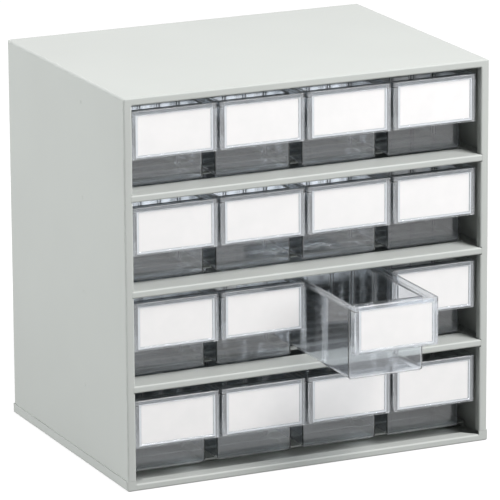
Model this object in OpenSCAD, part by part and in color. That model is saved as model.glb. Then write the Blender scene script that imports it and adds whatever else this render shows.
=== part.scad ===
// Desktop cabinet of folded sheet steel with sixteen clear moulded bins on four levels.
// Millimetres, +Z up. The origin is the centre of the face that the cabinet stands on,
// -Y is the front, and rows are counted from the top and columns from the left.

/* [Cabinet] */
// Width across the side panels
cab_w = 400; // [360:1:480]
// Depth from the front flanges to the rear flanges
cab_d = 300; // [260:1:400]
// Height from the standing face to the top
cab_h = 400; // [380:1:460]
// Thickness of the sheet steel
sheet = 1; // [0.8:0.1:1.2]
// Outer radius of the two long bends along the top
top_bend_r = 3; // [2:0.5:5]
// Outer radius of the bends round the front and the rear
edge_bend_r = 1.8; // [1.5:0.1:2.5]
// Assembly gap between two sheet parts
sheet_gap = 0.15; // [0.1:0.05:0.3]

/* [Front frame] */
// Height of the flange under the top's front edge
top_flange_h = 8; // [6:0.5:14]
// Width of the flange down each side of the front
side_flange_w = 9; // [7:0.5:14]
// Depth of the lip turned back from each front flange
flange_lip_d = 8; // [5:0.5:12]
// Width of the flange round the rear
rear_flange_w = 12; // [8:1:20]
// Gap above and below a shelf where it passes the side flanges' lips
notch_gap = 0.6; // [0.3:0.1:1.5]

/* [Spot welds] */
// Distance of the welds' marks on the sides behind the front flanges
weld_d = 105; // [60:5:140]
// Distance of the marks below the top and below each shelf's face
weld_drop = 25; // [20:0.5:27]
// Diameter of a mark
weld_mark_d = 4.4; // [3:0.2:7]
// Depth of a mark
weld_mark_t = 0.15; // [0.05:0.05:0.3]

/* [Base tray] */
// Height of the tray's side, rear and corner flanges
tray_side_h = 10.8; // [9.5:0.1:14]
// Height of the tray's front face
tray_front_h = 7.2; // [6:0.1:8]
// Depth of the lip turned back from the tray's front face
tray_lip_d = 15; // [10:1:20]
// Outer radius of the tray's bends along the sides
tray_bend_r = 3.5; // [2:0.5:5]
// Step from the tray's front lip up to the bottom panel's top face
tray_to_seat = 0.8; // [0.3:0.1:2]
// Setback of the bottom panel's front edge behind the bins' front walls
panel_setback = 14; // [0:0.5:20]
// Depth of the hem folded under the bottom panel's front edge
panel_hem_d = 12; // [6:1:20]

/* [Shelves] */
// Height of a shelf's front face
shelf_front_h = 7.2; // [5:0.1:10]
// Depth of the lip turned back under a shelf's front face
shelf_lip_d = 6; // [4:0.5:10]
// Height of a shelf's side flanges
shelf_side_h = 30; // [28:1:40]
// Height of a shelf's rear flange
shelf_rear_h = 12; // [8:1:12]
// Extra clear height of the bottom row
bottom_row_extra = 3; // [0:0.5:6]

/* [Slots in the shelves] */
// Depth of the closed strip along the front of a shelf
shelf_strip_d = 32; // [28:0.5:40]
// Distance of the first bar's middle behind the front flanges
bar_first = 57.8; // [55:0.1:62]
// Distance between two bars
bar_pitch = 24.75; // [20:0.25:30]
// Width of a bar
bar_w = 9; // [6:0.5:12]
// Width of the strips beside the slots
bar_side = 12; // [6:0.5:20]
// Least width of the strip behind the slots
bar_rear = 20; // [10:1:40]

/* [Rear strips] */
// Height of the gap left open above each shelf, below the strip that closes the rear
rear_open_h = 13; // [11:0.5:20]

/* [Bins] */
// Distance of a closed bin's label plate behind the front flanges
bin_setback = 7; // [4:0.5:12]
// Side gap between two neighbouring bins' rims
bin_gap = 3.2; // [2:0.1:6]
// What a row's pitches leave free beside the outer bins' gaps
row_side_gap = 1.2; // [0.4:0.1:3]
// Clear height between a bin's rim and the flange above it
bin_headroom = 7.8; // [5:0.1:12]
// Gap under a bin
glide_gap = 0.3; // [0.2:0.05:0.5]
// Gap between a closed bin and the rear strip
bin_rear_gap = 0.5; // [0.3:0.1:3]
// Wall thickness of a bin
bin_wall = 1.5; // [1.2:0.1:2.2]
// Outer radius of a bin's bottom edges
bin_low_r = 5; // [3:0.5:8]
// Outer radius of a bin's upright edges
bin_corner_r = 2; // [1.5:0.25:3]
// Depth of the hood from the label plate to the bin's front wall
hood_d = 24.5; // [18:0.5:32]
// Width of the rim's outward step on each side
rim_step = 5; // [3:0.5:8]
// Height of the rim's raised edge above its step
rim_edge_h = 4.5; // [2:0.5:8]

/* [Label plate] */
// Height of the label plate
plate_h = 48.5; // [42:0.5:56]
// Thickness of the label plate
plate_t = 3; // [2.4:0.1:4]
// Depth of the returns along the plate's sides, from its front face
plate_return_d = 9; // [5:0.5:14]
// Border from the plate's side edge to the window
window_side = 7; // [5:0.5:10]
// Border from the plate's bottom edge to the window
window_bottom = 4; // [3:0.25:6]
// Border from the plate's top edge to the window
window_top = 5; // [4:0.25:8]
// Bevel round the window's front edge
window_bevel = 0.8; // [0.3:0.1:0.8]
// Overlap of the window's frame over the card's sides and bottom
card_overlap = 2.4; // [1.5:0.1:3]
// Distance of the card's top edge above the window
card_top = 1; // [0.5:0.1:2]
// Thickness of the card
card_t = 0.4; // [0.2:0.05:0.5]
// Gap round the card in its pocket
card_gap = 0.15; // [0.1:0.05:0.3]
// Thickness of the frame in front of the card
card_frame_t = 1; // [0.8:0.1:1.2]

/* [Divider slots] */
// Distance from the bin's front wall to the first slot's middle
slot_first = 57; // [40:1:70]
// Distance between two slots
slot_pitch = 49.5; // [35:0.5:70]
// Width of a slot
slot_w = 3; // [2:0.1:4]
// Width of a rib beside a slot
slot_rib_w = 3.2; // [1.5:0.1:4]
// Height of a rib above the wall
slot_rib_h = 1.6; // [1:0.1:2.5]
// Distance of a rib's upper end below the rim's step
slot_rib_top = 1; // [0.5:0.5:10]

/* [Stops] */
// Length of the raised stop at the rear of each rim edge
stop_l = 25; // [16:1:40]
// Length of the slope behind the stop, which lets the bin be tipped in
stop_slope_l = 8; // [4:1:12]
// Chamfer on the stop's front edge
stop_chamfer = 1; // [0.5:0.1:2]
// Gap between a stop's top and the sheet above it
stop_top_gap = 1.4; // [0.8:0.1:1.8]

/* [Open bin] */
// Row of the bin that is drawn out, counted from the top
open_row = 3; // [1:1:4]
// Column of the bin that is drawn out, counted from the left
open_col = 3; // [1:1:4]
// Distance that it is drawn out
open_by = 106; // [0:1:200]

/* [Hidden] */
rows = 4;
cols = 4;
// What a cut passes the surface by, what joined shapes overlap by, and the sharpest inner corner
cut = 1;
join = 0.01;
sharp_r = 0.2;
$fn = 64;

paint = [0.79, 0.81, 0.79];
clear = [0.80, 0.85, 0.88, 0.4];
card = [0.96, 0.96, 0.95];

// Levels and columns
front_y = -cab_d / 2;
floor_z = sheet + sheet_gap;
wall_low_z = tray_bend_r + sheet_gap;
bottom_seat_z = tray_front_h + tray_to_seat;
clear_sum = cab_h - top_flange_h - bottom_seat_z - (rows - 1) * shelf_front_h - bottom_row_extra;
row_clear_h = clear_sum / rows;
row_pitch = row_clear_h + shelf_front_h;
function seat_z(row) = row == rows
    ? bottom_seat_z
    : cab_h - top_flange_h - row_clear_h - (row - 1) * row_pitch;
col_pitch = (cab_w - 2 * side_flange_w - row_side_gap) / cols;
function col_x(col) = (col - (cols + 1) / 2) * col_pitch;

// Front frame: the face of a flange starts where the bend of its lip ends
opening_x = cab_w / 2 - side_flange_w;
opening_z = cab_h - top_flange_h;
shelf_front_x = opening_x + edge_bend_r - sheet_gap;
inside_x = cab_w / 2 - sheet;

// Slots: one lies behind each bar, and the shelves have another before their first bar
rear_y = -front_y - 2 * sheet - 2 * sheet_gap;
bar_count = floor((rear_y - front_y - bar_rear - bar_first + bar_w / 2) / bar_pitch);
function bar_y(bar) = front_y + bar_first + bar * bar_pitch;

// Bin
bin_w = col_pitch - bin_gap;
bin_body_w = bin_w - 2 * rim_step;
bin_h = row_clear_h - bin_headroom - glide_gap;
bin_l = cab_d - 2 * sheet - sheet_gap - bin_rear_gap - bin_setback;
bin_body_l = bin_l - hood_d;
deck_z = bin_h - rim_edge_h;
stop_z = row_clear_h + shelf_front_h - sheet - glide_gap - stop_top_gap;
plate_z = bin_h - plate_h;
slot_count = floor((bin_body_l - slot_first - slot_pitch / 2) / slot_pitch) + 1;

// Label pocket and card
window_w = bin_w - 2 * window_side;
window_z = plate_z + window_bottom;
window_h = plate_h - window_bottom - window_top;
card_w = window_w + 2 * card_overlap;
card_z = window_z - card_overlap;
card_h = window_h + card_overlap + card_top;

function bin_name(row, col) = str("bin_r", row, "_c", col);
function card_name(row, col) = str("label_r", row, "_c", col);

// ---- Shared shapes ----

// Rectangle with round corners, centred
module round_rect(w, h, r) {
    square([w - 2 * r, h], center = true);
    square([w, h - 2 * r], center = true);
    for (sx = [-1, 1], sy = [-1, 1])
        translate([sx * (w / 2 - r), sy * (h / 2 - r)])
            circle(r);
}

// Quarter of a bent sheet's section, in the quadrant that turn quarter turns lead to
module bend(r, turn) {
    rotate(90 * turn)
        intersection() {
            difference() {
                circle(r);
                circle(r - sheet);
            }
            square(r);
        }
}

// Block from z = 0 to h, centred in X and Y, with its own radius on the edges that run
// front to back (r_y), left to right (r_x) and upright (r_z)
module soft_block(w, d, h, r_y, r_x, r_z) {
    intersection() {
        rotate([90, 0, 0])
            linear_extrude(d, center = true)
                translate([0, h / 2])
                    round_rect(w, h, r_y);
        rotate([90, 0, 90])
            linear_extrude(w, center = true)
                translate([0, h / 2])
                    round_rect(d, h, r_x);
        linear_extrude(h)
            round_rect(w, d, r_z);
    }
}

// Extrudes a section drawn as (depth, height) across the cabinet, centred on x = 0
module across(w) {
    rotate([90, 0, 90])
        linear_extrude(w, center = true)
            children();
}

// ---- Sheet steel ----

// Section of a flange's inner edge: a bend and a lip that runs back from it
module lip_section(lip_d) {
    translate([edge_bend_r, edge_bend_r])
        bend(edge_bend_r, 2);
    translate([0, edge_bend_r])
        square([sheet, lip_d - edge_bend_r]);
}

// Lip down one side of the front, notched for the shelves
module side_lip() {
    difference() {
        translate([opening_x, front_y, tray_side_h + sheet_gap])
            linear_extrude(opening_z - tray_side_h - sheet_gap)
                lip_section(flange_lip_d);
        for (row = [1:rows - 1])
            translate([opening_x - cut, front_y - cut, seat_z(row) - shelf_front_h - notch_gap])
                cube([edge_bend_r + 2 * cut, flange_lip_d + 2 * cut, shelf_front_h + 2 * notch_gap]);
    }
}

// Lip along the top of the front, which ends short of the side lips
module top_lip() {
    translate([0, front_y, opening_z])
        across(2 * (opening_x - sheet_gap))
            mirror([1, -1])
                lip_section(flange_lip_d);
}

// One sheet wrapped over the top and both sides, flanged at the front and the rear
module casing() {
    below = top_bend_r + edge_bend_r;
    face_x = opening_x + edge_bend_r;
    face_z = opening_z + edge_bend_r;
    rear_x = inside_x - rear_flange_w + sheet;
    color(paint) {
        difference() {
            translate([0, 0, -below])
                soft_block(cab_w, cab_d, cab_h + below, top_bend_r, edge_bend_r, edge_bend_r);
            translate([0, 0, -below - cut])
                soft_block(
                    cab_w - 2 * sheet, cab_d - 2 * sheet, cab_h + below + cut - sheet,
                    top_bend_r - sheet, edge_bend_r - sheet, edge_bend_r - sheet
                );
            translate([-cab_w / 2 - cut, front_y - cut, -below - cut])
                cube([cab_w + 2 * cut, cab_d + 2 * cut, below + cut + wall_low_z]);
            translate([-face_x, front_y - cut, 0])
                cube([2 * face_x, sheet + 2 * cut, face_z]);
            translate([-cab_w / 2 - cut, front_y - cut, 0])
                cube([cab_w + 2 * cut, edge_bend_r + cut, tray_side_h + sheet_gap]);
            translate([-rear_x, -front_y - sheet - cut, 0])
                cube([2 * rear_x, sheet + 2 * cut, cab_h - rear_flange_w]);
            weld_marks();
        }
        side_lip();
        mirror([1, 0, 0])
            side_lip();
        top_lip();
        top_corners();
    }
}

// Shallow round marks that the spot welds leave on the outside of both sides
module weld_marks() {
    levels = concat([cab_h], [for (row = [1:rows - 1]) seat_z(row)]);
    for (side = [-1, 1], level = levels)
        translate([side * cab_w / 2, front_y + weld_d, level - weld_drop])
            rotate([0, 90, 0])
                cylinder(h = 2 * weld_mark_t, d = weld_mark_d, center = true);
}

// Squares that close the front face where the top flange meets the side flanges
module top_corners() {
    for (side = [-1, 1])
        translate([side * (opening_x + edge_bend_r / 2), front_y + sheet / 2, opening_z + edge_bend_r / 2])
            cube([edge_bend_r, sheet, edge_bend_r], center = true);
}

// Flat strip behind a row of bins, against the inside of the rear flanges and clear of their
// bends. It reaches up to the shelf above, and only the lowest strip leaves no gap below it.
module rear_strip(row) {
    strip_w = cab_w - 2 * edge_bend_r;
    low_z = row == rows ? wall_low_z : seat_z(row) + rear_open_h;
    high_z = row == 1 ? cab_h - edge_bend_r : seat_z(row - 1);
    corner_r = max(top_bend_r - edge_bend_r, sharp_r);
    color(paint)
        translate([0, -front_y - sheet - sheet_gap, (low_z + high_z) / 2])
            rotate([90, 0, 0])
                linear_extrude(sheet)
                    round_rect(strip_w, high_z - low_z, corner_r);
}

// Shallow tray that the casing stands in, with its flanges outside the panels
module base_tray() {
    tray_w = cab_w + 2 * sheet + 2 * sheet_gap;
    tray_d = cab_d + sheet + sheet_gap;
    high = tray_side_h + tray_bend_r + cut;
    color(paint) {
        difference() {
            translate([0, (sheet + sheet_gap) / 2, 0])
                intersection() {
                    soft_block(tray_w, tray_d, high, tray_bend_r, edge_bend_r, edge_bend_r);
                    linear_extrude(tray_side_h)
                        square([2 * tray_w, 2 * tray_d], center = true);
                }
            translate([0, (sheet + sheet_gap) / 2, sheet])
                soft_block(
                    tray_w - 2 * sheet, tray_d - 2 * sheet, high + tray_bend_r,
                    tray_bend_r - sheet, edge_bend_r - sheet, edge_bend_r - sheet
                );
            translate([-opening_x, front_y - cut, tray_front_h - edge_bend_r])
                cube([2 * opening_x, sheet + 2 * cut, tray_side_h]);
        }
        tray_lip();
    }
}

// Bend and lip along the top of the tray's front face, with ends cut at 45 degrees
module tray_lip() {
    intersection() {
        translate([0, front_y, tray_front_h])
            across(2 * opening_x) {
                translate([edge_bend_r, -edge_bend_r])
                    bend(edge_bend_r, 1);
                translate([edge_bend_r, -sheet])
                    square([tray_lip_d - edge_bend_r, sheet]);
            }
        linear_extrude(tray_front_h + cut)
            translate([0, front_y])
                polygon([
                    [-opening_x, -cut], [opening_x, -cut], [opening_x, edge_bend_r],
                    [opening_x - tray_lip_d, tray_lip_d + cut], [tray_lip_d - opening_x, tray_lip_d + cut],
                    [-opening_x, edge_bend_r]
                ]);
    }
}

// Flanges down the sides and the rear of a panel whose top face is at z = 0
module panel_flanges(panel_w, from_y, side_h, rear_h) {
    for (side = [-1, 1])
        translate([side * (panel_w - sheet) / 2, (from_y + rear_y) / 2, -side_h / 2])
            cube([sheet, rear_y - from_y, side_h], center = true);
    translate([0, rear_y - sheet / 2, -rear_h / 2])
        cube([panel_w, sheet, rear_h], center = true);
}

// Slot through a panel whose top face is at z = 0, from one bar to the next
module slot_between(from_y, to_y) {
    slot_l = 2 * (inside_x - bar_side);
    translate([-slot_l / 2, from_y, -sheet - cut])
        cube([slot_l, to_y - from_y, sheet + 2 * cut]);
}

// The slots behind the bars
module bar_slots() {
    for (bar = [0:bar_count - 1])
        slot_between(bar_y(bar) + bar_w / 2, bar_y(bar + 1) - bar_w / 2);
}

// Shelf: a folded front face with a lip under it, flanges down the sides and the rear, and
// slots across its panel
module shelf(row) {
    panel_w = 2 * inside_x - 2 * sheet_gap;
    clear_y = front_y + flange_lip_d + sheet_gap;
    color(paint)
        translate([0, 0, seat_z(row)]) {
            translate([0, front_y, 0])
                across(2 * shelf_front_x) {
                    translate([edge_bend_r, -edge_bend_r])
                        bend(edge_bend_r, 1);
                    translate([0, edge_bend_r - shelf_front_h])
                        square([sheet, shelf_front_h - 2 * edge_bend_r]);
                    translate([edge_bend_r, edge_bend_r - shelf_front_h])
                        bend(edge_bend_r, 2);
                    translate([edge_bend_r, -shelf_front_h])
                        square([shelf_lip_d - edge_bend_r, sheet]);
                    translate([edge_bend_r, -sheet])
                        square([flange_lip_d + cut - edge_bend_r, sheet]);
                }
            difference() {
                translate([-panel_w / 2, clear_y, -sheet])
                    cube([panel_w, rear_y - clear_y, sheet]);
                slot_between(front_y + shelf_strip_d, bar_y(0) - bar_w / 2);
                bar_slots();
            }
            panel_flanges(panel_w, clear_y, shelf_side_h, shelf_rear_h);
        }
}

// Panel under the bottom row, on flanges that stand on the tray's floor
module bottom_panel() {
    panel_w = cab_w - 2 * (tray_bend_r - sheet);
    from_y = front_y + bin_setback + hood_d + panel_setback;
    hem_r = sheet + sheet_gap / 2;
    drop = bottom_seat_z - floor_z;
    color(paint)
        translate([0, 0, bottom_seat_z]) {
            difference() {
                translate([-panel_w / 2, from_y + hem_r, -sheet])
                    cube([panel_w, rear_y - from_y - hem_r, sheet]);
                bar_slots();
            }
            translate([0, from_y, 0])
                across(panel_w - 2 * sheet) {
                    translate([hem_r, -hem_r]) {
                        bend(hem_r, 1);
                        bend(hem_r, 2);
                    }
                    translate([hem_r, -2 * hem_r])
                        square([panel_hem_d - hem_r, sheet]);
                }
            panel_flanges(panel_w, from_y + hem_r, drop, drop);
        }
}

// ---- Bins ----

// Tub from y = 0 to d and z = 0 to h, open to further shaping at the top
module tub(w, d, h, r_low, r_up) {
    intersection() {
        translate([0, d / 2, 0])
            soft_block(w, d, 2 * h, r_low, r_low, r_up);
        translate([-w, -d, 0])
            cube([2 * w, 3 * d, h]);
    }
}

// Plan of the rim, inset by t all round
module rim_plan(t) {
    translate([0, bin_l / 2])
        round_rect(bin_w - 2 * t, bin_l - 2 * t, max(bin_corner_r - t, sharp_r));
}

// Room inside the bin's walls, open upwards
module bin_room() {
    translate([0, hood_d + bin_wall, bin_wall])
        tub(
            bin_body_w - 2 * bin_wall, bin_body_l - 2 * bin_wall, bin_h + cut,
            bin_low_r - bin_wall, max(bin_corner_r - bin_wall, sharp_r)
        );
}

// Walls and floor
module bin_tub() {
    translate([0, hood_d, 0])
        tub(bin_body_w, bin_body_l, deck_z, bin_low_r, bin_corner_r);
}

// Step that carries the rim outwards, and forwards as the hood's top
module rim_deck() {
    translate([0, 0, deck_z - bin_wall])
        linear_extrude(bin_wall)
            rim_plan(0);
}

// Raised edge all round, highest at the two stops
module rim_edge() {
    stop_y = bin_l - stop_l;
    slope_y = bin_l - bin_corner_r;
    difference() {
        translate([0, 0, deck_z - bin_wall])
            linear_extrude(stop_z - deck_z + bin_wall)
                difference() {
                    rim_plan(0);
                    rim_plan(bin_wall - join);
                }
        across(bin_w + 2 * cut)
            polygon([
                [-cut, bin_h], [stop_y, bin_h], [stop_y, stop_z - stop_chamfer],
                [stop_y + stop_chamfer, stop_z], [slope_y - stop_slope_l, stop_z], [slope_y, bin_h],
                [bin_l + cut, bin_h], [bin_l + cut, stop_z + cut], [-cut, stop_z + cut]
            ]);
    }
}

// Label plate with returns down its sides
module plate() {
    translate([0, 0, plate_z + plate_h / 2])
        intersection() {
            rotate([90, 0, 0])
                translate([0, 0, -plate_return_d])
                    linear_extrude(plate_return_d)
                        round_rect(bin_w, plate_h, bin_corner_r);
            linear_extrude(plate_h, center = true)
                rim_plan(0);
            union() {
                translate([-bin_w / 2, 0, -plate_h / 2])
                    cube([bin_w, plate_t, plate_h]);
                for (side = [-1, 1])
                    translate([side * (bin_w - bin_wall) / 2, plate_return_d / 2, 0])
                        cube([bin_wall, plate_return_d, plate_h], center = true);
            }
        }
}

// Bevel at 45 degrees round the window's front edge
module window_edge() {
    wide = window_w / 2 + window_bevel;
    low_z = window_z - window_bevel;
    high_z = window_z + window_h + window_bevel;
    intersection() {
        linear_extrude(bin_h)
            polygon([
                [-wide, -cut], [wide, -cut], [wide, 0], [window_w / 2, window_bevel],
                [-window_w / 2, window_bevel], [-wide, 0]
            ]);
        across(bin_w)
            polygon([
                [-cut, low_z], [0, low_z], [window_bevel, window_z], [window_bevel, window_z + window_h],
                [0, high_z], [-cut, high_z]
            ]);
    }
}

// Window in the plate's front and, behind it, the pocket that the card drops into
module card_room() {
    pocket_w = card_w + 2 * card_gap;
    window_edge();
    translate([-window_w / 2, -cut, window_z])
        cube([window_w, cut + card_frame_t + card_gap, window_h]);
    translate([-pocket_w / 2, card_frame_t, card_z - card_gap])
        cube([pocket_w, card_t + 2 * card_gap, bin_h + cut - card_z + card_gap]);
}

// Pairs of upright ribs that hold a divider between them
module divider_ribs() {
    wall_x = bin_body_w / 2 - bin_wall;
    rib_low_z = bin_wall / 2;
    rib_high_z = deck_z - slot_rib_top;
    for (side = [-1, 1], slot = [0:slot_count - 1], edge = [-1, 1])
        translate([
            side * (wall_x + (join - slot_rib_h) / 2),
            hood_d + slot_first + slot * slot_pitch + edge * (slot_w + slot_rib_w) / 2,
            (rib_low_z + rib_high_z) / 2
        ])
            cube([slot_rib_h + join, slot_rib_w, rib_high_z - rib_low_z], center = true);
}

// Where the bin of a row and a column stands
module at_bin(row, col) {
    pull = row == open_row && col == open_col ? open_by : 0;
    translate([col_x(col), front_y + bin_setback - pull, seat_z(row) + glide_gap])
        children();
}

module bin(row, col) {
    color(clear)
        at_bin(row, col) {
            difference() {
                union() {
                    bin_tub();
                    rim_deck();
                    rim_edge();
                    plate();
                }
                bin_room();
                card_room();
            }
            divider_ribs();
        }
}

module label(row, col) {
    color(card)
        at_bin(row, col)
            translate([-card_w / 2, card_frame_t + card_gap, card_z])
                cube([card_w, card_t, card_h]);
}

// ---- Parts ----

casing();
base_tray();
bottom_panel();
for (row = [1:rows - 1])
    shelf(row);
for (row = [1:rows])
    rear_strip(row);
for (row = [1:rows], col = [1:cols]) {
    bin(row, col);
    label(row, col);
}
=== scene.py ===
"""Looks of a parts cabinet: painted sheet steel, clear moulded bins and paper label cards.

Metres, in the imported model's own frame: +X to the right, +Y to the rear, +Z up, standing on z = 0.
"""

import math

import bpy
from mathutils import Matrix, Vector


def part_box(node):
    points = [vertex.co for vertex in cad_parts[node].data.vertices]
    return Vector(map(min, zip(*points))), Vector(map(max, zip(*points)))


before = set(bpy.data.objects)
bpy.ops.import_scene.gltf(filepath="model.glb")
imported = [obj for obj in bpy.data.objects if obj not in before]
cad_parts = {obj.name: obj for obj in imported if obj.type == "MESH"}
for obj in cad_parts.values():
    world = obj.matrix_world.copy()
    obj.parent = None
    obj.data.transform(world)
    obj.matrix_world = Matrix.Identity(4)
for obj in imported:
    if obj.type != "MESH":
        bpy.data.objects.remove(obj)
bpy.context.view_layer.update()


# ---- Named values ----

# Camera, as fitted to the cabinet's corners in the photograph: azimuth, elevation and roll in
# degrees, the point it aims at, its distance from there and how far it sees
VIEW_AZIMUTH = -24.71
VIEW_ELEVATION = 15.01
VIEW_ROLL = -0.35
VIEW_AIM = Vector((-0.0633, -0.1446, 0.2314))
VIEW_DISTANCE = 4.656
VIEW_END = 200.0
PHOTO_WIDTH_PX = 500
FOCAL_LENGTH_PX = 4700
SENSOR_WIDTH_MM = 36.0

# A noise scale is roughly the number of waves in a metre, and nearly all values of a noise lie
# between its low and its high. A bump is a height and its strength.
NOISE_LOW = 0.3
NOISE_HIGH = 0.7

# Powder coat: two tones that drift into each other, an orange peel and a fine speckle on it
PAINT_DARK = (0.495, 0.522, 0.50)
PAINT_LIGHT = (0.517, 0.545, 0.522)
PAINT_IOR = 1.5
PAINT_SPECULAR = 0.2
PAINT_ROUGHNESS = (0.40, 0.50)
ROUGHNESS_DRIFT = 0.03
DRIFT_SCALE = 9.0
PEEL_SCALE = 700.0
PEEL_BUMP = (0.00006, 0.35)
SPECKLE_SCALE = 2600.0
SPECKLE_BUMP = (0.00002, 0.3)

# Clear plastic. Its clearness is 1 where it lets all light in and 0 where it looks solid.
CLEAR_TINT = (0.915, 0.945, 0.975)
CLEAR_IOR = 1.57
CLEAR_ROUGHNESS = (0.02, 0.06)
HAZE_SCALE = 300.0
WAVE_SCALE = 45.0
WAVE_BUMP = (0.0004, 0.12)
CLEARNESS = 0.98

# Within this radius the moulded edges are rounded in shading and turned milky, a painted
# highlight for the light that they gather. Edge and face are told apart by the cosine
# of the angle between the rounded surface and the true one.
EDGE_RADIUS = 0.0011
EDGE_HIGHLIGHT_CLEARNESS = 0.2
EDGE_COSINE = 0.75
FACE_COSINE = 0.99

# Cloudier parts of a bin: the lowest BASE_HEIGHT is the tub's base, its cloudiness a painted
# reflection of the bright surroundings, and the foremost PLATE_DEPTH is the label plate with its
# returns, and these stand more than RETURN_OFFSET beside the middle, their cloudiness a painted
# highlight. Past each of these places the clearness changes over its fade. All bins are alike.
BIN_LOW, BIN_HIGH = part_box("bin_r1_c1")
BIN_SIZE = BIN_HIGH - BIN_LOW
BASE_HEIGHT = 0.00245
BASE_FADE = 0.0009
# Lower clearness of the base: a painted reflection of the bright surroundings
BASE_REFLECTION_CLEARNESS = 0.89
PLATE_DEPTH = 0.009
PLATE_FADE = 0.0006
PLATE_CLEARNESS = 0.955
RETURN_OFFSET = 0.0411
RETURN_FADE = 0.0005
# Lower clearness of the returns: a painted highlight
RETURN_HIGHLIGHT_CLEARNESS = 0.85

# The light that each face of the plastic passes on to matt things behind it, in a bin's walls
# and in its label plate
SHADOW_TINT = (0.95, 0.955, 0.96)
PLATE_SHADOW_TINT = (0.86, 0.875, 0.89)

# Label card: two tones that drift into each other, and a grain of fibres
CARD_DARK = (0.87, 0.875, 0.87)
CARD_LIGHT = (0.90, 0.90, 0.895)
CARD_SPECULAR = 0.25
CARD_ROUGHNESS = 0.85
CLOUD_SCALE = 60.0
FIBRE_SCALE = 1500.0
FIBRE_BUMP = (0.00004, 0.4)

# Stage. The floor lies a little below the object, so that the two don't share a plane, and its
# glow makes up what its matt colour lacks to white.
WHITE = (1.0, 1.0, 1.0)
WARM_WHITE = (1.0, 0.98, 0.985)
ROSE_WHITE = (1.0, 0.93, 0.95)
FLOOR_RADIUS = 40.0
FLOOR_SIDES = 96
FLOOR_DROP = 0.0004
FLOOR_COLOUR = (0.25, 0.25, 0.25)
FLOOR_GLOW = 0.86
WORLD_LIGHT = 0.15
LAMP_AIM = Vector((0, 0, 0.2))


# ---- Node trees ----

class Tree:
    """A short way to write a node tree. What add() is given is set on the node or linked to it."""

    def __init__(self, owner):
        owner.use_nodes = True
        self.nodes = owner.node_tree.nodes
        self.links = owner.node_tree.links
        self.nodes.clear()

    def add(self, kind, inputs=None, **settings):
        node = self.nodes.new("ShaderNode" + kind)
        for name, value in settings.items():
            setattr(node, name, value)
        for key, value in (inputs or {}).items():
            self.put(node.inputs[key], value)
        return node

    def put(self, socket, value):
        if isinstance(value, bpy.types.NodeSocket):
            self.links.new(value, socket)
        elif socket.type == "RGBA" and len(value) == 3:
            socket.default_value = (*value, 1)
        else:
            socket.default_value = value

    def math(self, operation, a, b=0.0):
        return self.add("Math", {0: a, 1: b}, operation=operation).outputs[0]

    def noise(self, place, scale, detail=2.0):
        node = self.add("TexNoise", {"Vector": place, "Scale": scale, "Detail": detail})
        return node.outputs["Fac"]

    def spread(self, value, low, high, low_in=NOISE_LOW, high_in=NOISE_HIGH):
        """Maps the range low_in to high_in, by default a noise's own, to the range low to high."""
        ends = {1: low_in, 2: high_in, 3: low, 4: high}
        node = self.add("MapRange", {0: value, **ends})
        return node.outputs[0]

    def tone(self, value, dark, light, low_in=NOISE_LOW, high_in=NOISE_HIGH):
        """Mixes two colours by a value in the range low_in to high_in."""
        share = self.spread(value, 0.0, 1.0, low_in, high_in)
        # A Mix node has its colours at the inputs 6 and 7 and at the output 2
        colours = {6: dark, 7: light}
        node = self.add("Mix", {"Factor": share, **colours}, data_type="RGBA")
        return node.outputs[2]

    def bump(self, height, distance, strength, normal=None):
        inputs = {"Height": height, "Distance": distance, "Strength": strength}
        if normal is not None:
            inputs["Normal"] = normal
        return self.add("Bump", inputs).outputs[0]


# ---- Materials ----

def paint_material():
    """Light grey powder coat: a fine orange peel, faint drifts of tone and satin gloss."""
    material = bpy.data.materials.new("grey_powder_coat")
    tree = Tree(material)
    place = tree.add("TexCoord").outputs["Object"]
    drift = tree.noise(place, DRIFT_SCALE, 3.0)
    speckle = tree.noise(place, SPECKLE_SCALE)
    peel = tree.noise(place, PEEL_SCALE, 3.0)
    colour = tree.tone(drift, PAINT_DARK, PAINT_LIGHT)
    peel_rough = tree.spread(peel, *PAINT_ROUGHNESS)
    drift_rough = tree.spread(drift, -ROUGHNESS_DRIFT, ROUGHNESS_DRIFT)
    rough = tree.math("ADD", peel_rough, drift_rough)
    normal = tree.bump(peel, *PEEL_BUMP)
    normal = tree.bump(speckle, *SPECKLE_BUMP, normal)
    shader = tree.add("BsdfPrincipled", {
        "Base Color": colour, "Roughness": rough, "Normal": normal,
        "IOR": PAINT_IOR, "Specular IOR Level": PAINT_SPECULAR,
    })
    tree.add("OutputMaterial", {"Surface": shader.outputs[0]})
    return material


def place_in_bin(tree):
    """X, Y and Z in a bin, counted from its left, its front and its underside."""
    share = tree.add("TexCoord").outputs["Generated"]
    place = tree.add("VectorMath", {0: share, 1: BIN_SIZE}, operation="MULTIPLY")
    return tree.add("SeparateXYZ", {0: place.outputs["Vector"]}).outputs


def plate_share(tree, spot):
    """1 on a bin's label plate and on the returns beside it, 0 on the rest of the bin."""
    return tree.spread(spot["Y"], 1.0, 0.0, PLATE_DEPTH, PLATE_DEPTH + PLATE_FADE)


def plate_clearness(tree, spot):
    """How clear a label plate is: less so at its left and right, a painted highlight where the
    returns gather light.
    """
    aside = tree.math("ABSOLUTE", tree.math("SUBTRACT", spot["X"], BIN_SIZE.x / 2))
    ends = (RETURN_OFFSET, RETURN_OFFSET + RETURN_FADE)
    return tree.spread(aside, PLATE_CLEARNESS, RETURN_HIGHLIGHT_CLEARNESS, *ends)


def tub_clearness(tree, spot):
    """How clear a tub is: less so in its base, a painted reflection of the bright surroundings."""
    return tree.spread(spot["Z"], BASE_REFLECTION_CLEARNESS, CLEARNESS, BASE_HEIGHT, BASE_HEIGHT + BASE_FADE)


def edge_cosine(tree, rounded):
    """1 on a face, and less where the rounded surface turns away from it at an edge."""
    flat = tree.add("NewGeometry").outputs["Normal"]
    dot = tree.add("VectorMath", {0: rounded, 1: flat}, operation="DOT_PRODUCT")
    return tree.math("ABSOLUTE", dot.outputs["Value"])


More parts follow.
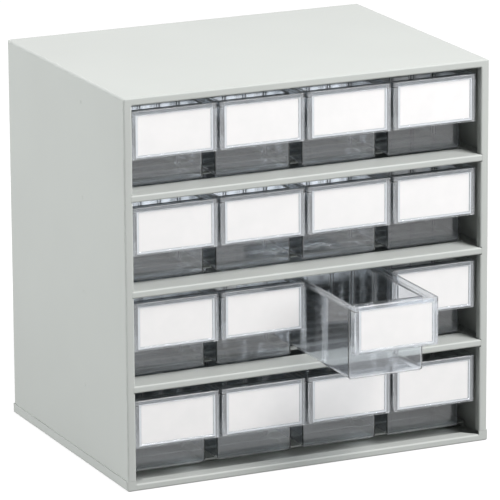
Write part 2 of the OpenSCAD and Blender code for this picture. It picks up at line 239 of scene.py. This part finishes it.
def lighting_rays(tree):
    """1 for the rays that find out how a matt face is lit, 0 for those that look at the plastic."""
    path = tree.add("LightPath").outputs
    after_matt = tree.math("GREATER_THAN", path["Diffuse Depth"], 0.5)
    return tree.math("MAXIMUM", path["Is Shadow Ray"], after_matt)


def clear_material():
    """Clear polystyrene: hard and glossy, with the waves that moulding leaves in it.

    The edges and the sides of the label plate are milky, painted highlights for the light that
    they gather; the tub's base is milky, a painted reflection of the bright surroundings; the rest
    of the label plate is a little milky. Light that falls through the plastic on a matt face isn't
    bent, so that each lamp counts once.
    """
    material = bpy.data.materials.new("clear_polystyrene")
    tree = Tree(material)
    place = tree.add("TexCoord").outputs["Object"]
    wave = tree.noise(place, WAVE_SCALE)
    haze = tree.noise(place, HAZE_SCALE, 3.0)
    spot = place_in_bin(tree)
    plate = plate_share(tree, spot)
    tub = tub_clearness(tree, spot)
    faces = tree.spread(plate, tub, plate_clearness(tree, spot), 0.0, 1.0)
    rounded = tree.add("Bevel", {"Radius": EDGE_RADIUS}).outputs[0]
    cosine = edge_cosine(tree, rounded)
    shader = tree.add("BsdfPrincipled", {
        "Base Color": CLEAR_TINT, "IOR": CLEAR_IOR,
        "Roughness": tree.spread(haze, *CLEAR_ROUGHNESS),
        "Normal": tree.bump(wave, *WAVE_BUMP, rounded),
        # Milky at the edges: a painted highlight
        "Transmission Weight": tree.spread(cosine, EDGE_HIGHLIGHT_CLEARNESS, faces, EDGE_COSINE, FACE_COSINE),
    })
    tint = tree.tone(plate, SHADOW_TINT, PLATE_SHADOW_TINT, 0.0, 1.0)
    passed = tree.add("BsdfTransparent", {"Color": tint})
    lighting = lighting_rays(tree)
    both = tree.add("MixShader", {0: lighting, 1: shader.outputs[0], 2: passed.outputs[0]})
    tree.add("OutputMaterial", {"Surface": both.outputs[0]})
    return material


def card_material():
    """White card: matt, with a fine grain of fibres."""
    material = bpy.data.materials.new("white_card")
    tree = Tree(material)
    place = tree.add("TexCoord").outputs["Object"]
    fibre = tree.noise(place, FIBRE_SCALE, 4.0)
    cloud = tree.noise(place, CLOUD_SCALE)
    shader = tree.add("BsdfPrincipled", {
        "Base Color": tree.tone(cloud, CARD_DARK, CARD_LIGHT),
        "Normal": tree.bump(fibre, *FIBRE_BUMP),
        "Roughness": CARD_ROUGHNESS, "Specular IOR Level": CARD_SPECULAR,
    })
    tree.add("OutputMaterial", {"Surface": shader.outputs[0]})
    return material


def finish_node(node, material):
    """Gives a CAD node one material in each of its slots."""
    slots = node.material_slots
    if not slots:
        node.data.materials.append(material)
    for slot in slots:
        slot.material = material


def finish_cad():
    """Clear bins, white cards in them, and paint on everything else."""
    paint = paint_material()
    clear = clear_material()
    card = card_material()
    for name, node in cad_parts.items():
        if name.startswith("bin_"):
            finish_node(node, clear)
        elif name.startswith("label_"):
            finish_node(node, card)
        else:
            finish_node(node, paint)


# ---- Stage ----

def background_rays(tree):
    """1 for the rays that show the background as it looks, directly or in gloss and clear plastic.

    Rays that light a matt face through the clear plastic don't count.
    """
    path = tree.add("LightPath").outputs
    seen = tree.math("MAXIMUM", path["Is Camera Ray"], path["Is Glossy Ray"])
    seen = tree.math("MAXIMUM", seen, path["Is Transmission Ray"])
    before_matt = tree.math("LESS_THAN", path["Diffuse Depth"], 0.5)
    return tree.math("MULTIPLY", seen, before_matt)


def white_floor():
    """A wide pale floor that is white where no shadow falls."""
    bpy.ops.mesh.primitive_circle_add(
        vertices=FLOOR_SIDES, radius=FLOOR_RADIUS, fill_type="NGON", location=(0, 0, -FLOOR_DROP))
    floor = bpy.context.object
    floor.name = "floor"
    material = bpy.data.materials.new("white_floor")
    tree = Tree(material)
    matt = tree.add("BsdfDiffuse", {"Color": FLOOR_COLOUR})
    strength = tree.math("MULTIPLY", background_rays(tree), FLOOR_GLOW)
    glow = tree.add("Emission", {"Color": WHITE, "Strength": strength})
    both = tree.add("AddShader", {0: matt.outputs[0], 1: glow.outputs[0]})
    tree.add("OutputMaterial", {"Surface": both.outputs[0]})
    floor.data.materials.append(material)


def white_world():
    """A plain studio round the object, white where it is seen."""
    world = bpy.data.worlds.new("studio")
    bpy.context.scene.world = world
    tree = Tree(world)
    light = tree.add("Background", {"Color": WHITE, "Strength": WORLD_LIGHT})
    white = tree.add("Background", {"Color": WHITE, "Strength": 1.0})
    seen = background_rays(tree)
    both = tree.add("MixShader", {0: seen, 1: light.outputs[0], 2: white.outputs[0]})
    tree.add("OutputWorld", {"Surface": both.outputs[0]})


def softbox(name, place, width, watts, colour=WHITE, mirrored=True):
    """A square lamp that is turned to the cabinet's middle. Gloss shows it only if mirrored."""
    lamp = bpy.data.lights.new(name, "AREA")
    lamp.size = width
    lamp.energy = watts
    lamp.color = colour
    holder = bpy.data.objects.new(name, lamp)
    holder.location = place
    holder.rotation_euler = (LAMP_AIM - Vector(place)).to_track_quat("-Z", "Y").to_euler()
    holder.visible_glossy = mirrored
    bpy.context.scene.collection.objects.link(holder)


def lamps():
    """The key light stands high on the right, so that the insides stay dark.

    The front and rear lights aren't mirrored, because the top would turn white where it shows them.
    """
    softbox("key_light", place=(0.95, -1.65, 2.5), width=1.1, watts=95, colour=WARM_WHITE)
    softbox("front_light", place=(0.95, -2.3, 0.8), width=0.8, watts=14, mirrored=False)
    softbox("left_light", place=(-2.6, 0.5, 1.2), width=1.2, watts=58)
    softbox("rear_light", place=(-0.3, 2.2, 2.0), width=1.2, watts=23, colour=ROSE_WHITE,
            mirrored=False)


def camera():
    """A long lens at the photograph's viewing angle, on the object's left and a little above it."""
    turn = Matrix.Rotation(math.radians(VIEW_AZIMUTH), 3, "Z")
    tilt = Matrix.Rotation(math.radians(90 - VIEW_ELEVATION), 3, "X")
    roll = Matrix.Rotation(math.radians(VIEW_ROLL), 3, "Z")
    axes = turn @ tilt @ roll
    place = VIEW_AIM + axes.col[2] * VIEW_DISTANCE
    data = bpy.data.cameras.new("camera")
    data.sensor_width = SENSOR_WIDTH_MM
    data.lens = SENSOR_WIDTH_MM * FOCAL_LENGTH_PX / PHOTO_WIDTH_PX
    data.clip_end = VIEW_END
    eye = bpy.data.objects.new("camera", data)
    eye.matrix_world = Matrix.Translation(place) @ axes.to_4x4()
    bpy.context.scene.collection.objects.link(eye)
    bpy.context.scene.camera = eye


camera()
finish_cad()
white_floor()
white_world()
lamps()
bpy.context.scene.view_settings.view_transform = "Standard"
